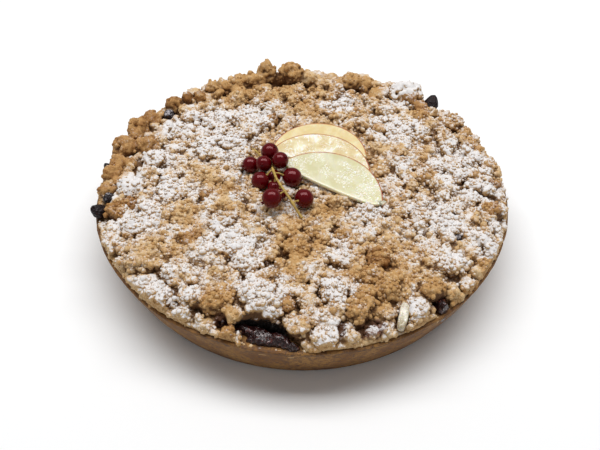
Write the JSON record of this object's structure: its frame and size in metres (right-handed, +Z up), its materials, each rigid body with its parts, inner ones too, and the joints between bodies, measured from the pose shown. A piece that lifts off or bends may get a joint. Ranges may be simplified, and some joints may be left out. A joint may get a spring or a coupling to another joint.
{
  "type": "apple crumble tart",
  "caption": "Round shallow tart with a shortcrust shell, dark fruit filling, thick sugared crumble topping, fanned apple slices and a redcurrant sprig.",
  "frame": {"origin": "middle of the flat underside of the shell", "axes": "+Z up out of the crumble, -Y towards the front, where the jam shows, +X to the viewer's right"},
  "size_m": [0.2396, 0.2388, 0.0536],
  "materials": {
    "pastry": "baked golden-brown shortcrust, matte and finely grained",
    "jam": "glossy dark cooked fruit",
    "crumble": "granular golden crumble dusted with icing sugar",
    "apple": "wet glazed apple flesh with a thin red-brown peel edge",
    "redcurrant": "very glossy translucent deep red skin",
    "stem": "dry golden-green stalk",
    "dark_berry": "wrinkled dark baked berry skin"
  },
  "bodies": {
    "root": {"pastry_shell": "pastry", "fruit_filling": "jam", "crumble": "crumble", "apple_slice_back": "apple", "apple_slice_middle": "apple", "apple_slice_front": "apple", "currant_1": "redcurrant", "currant_2": "redcurrant", "currant_3": "redcurrant", "currant_4": "redcurrant", "currant_5": "redcurrant", "currant_6": "redcurrant", "currant_7": "redcurrant", "currant_8": "redcurrant", "currant_9": "redcurrant", "currant_10": "redcurrant", "currant_11": "redcurrant", "currant_stem": "stem", "dark_berry_left_outer": "dark_berry", "dark_berry_left_inner": "dark_berry", "dark_berry_left_far": "dark_berry", "dark_berry_back_left": "dark_berry", "dark_berry_back_right": "dark_berry", "dark_berry_right": "dark_berry", "apple_chunk": "apple"}
  },
  "joints": []
}
